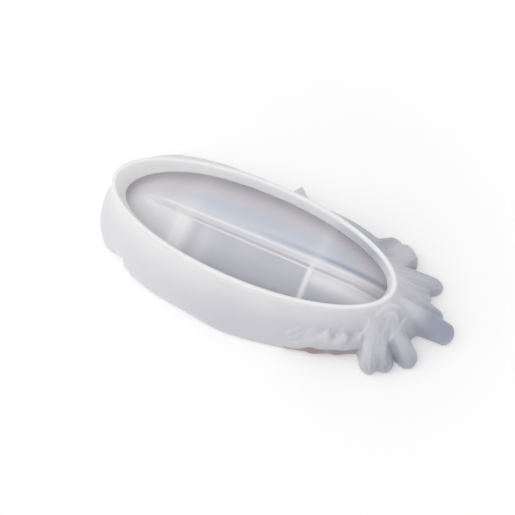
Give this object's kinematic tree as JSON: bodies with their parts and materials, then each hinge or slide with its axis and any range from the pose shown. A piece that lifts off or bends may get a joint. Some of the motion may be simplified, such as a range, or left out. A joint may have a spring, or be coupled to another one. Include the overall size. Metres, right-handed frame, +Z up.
{
  "type": "resin casting mould",
  "caption": "Milky silicone mould for casting a feather-shaped bowl: oval pouring collar, ribbed core dome, and pockets for quill and down tufts.",
  "frame": {"origin": "centre of the overall box, on the table", "axes": "+X from the feather's tip towards its quill, +Z up through the pouring collar"},
  "size_m": [0.2449, 0.1101, 0.048],
  "materials": {
    "silicone": "satin"
  },
  "bodies": {
    "root": {"pour_collar": "silicone", "vane_shell": "silicone", "core_dome": "silicone", "trough_floor": "silicone", "spine_rib": "silicone", "tip_rib_near": "silicone", "tip_rib_far": "silicone", "quill_rib_near": "silicone", "quill_rib_far": "silicone", "quill_pocket": "silicone", "near_tuft_pair": "silicone", "near_tuft": "silicone", "far_tuft": "silicone", "far_tuft_stub": "silicone"}
  },
  "joints": []
}
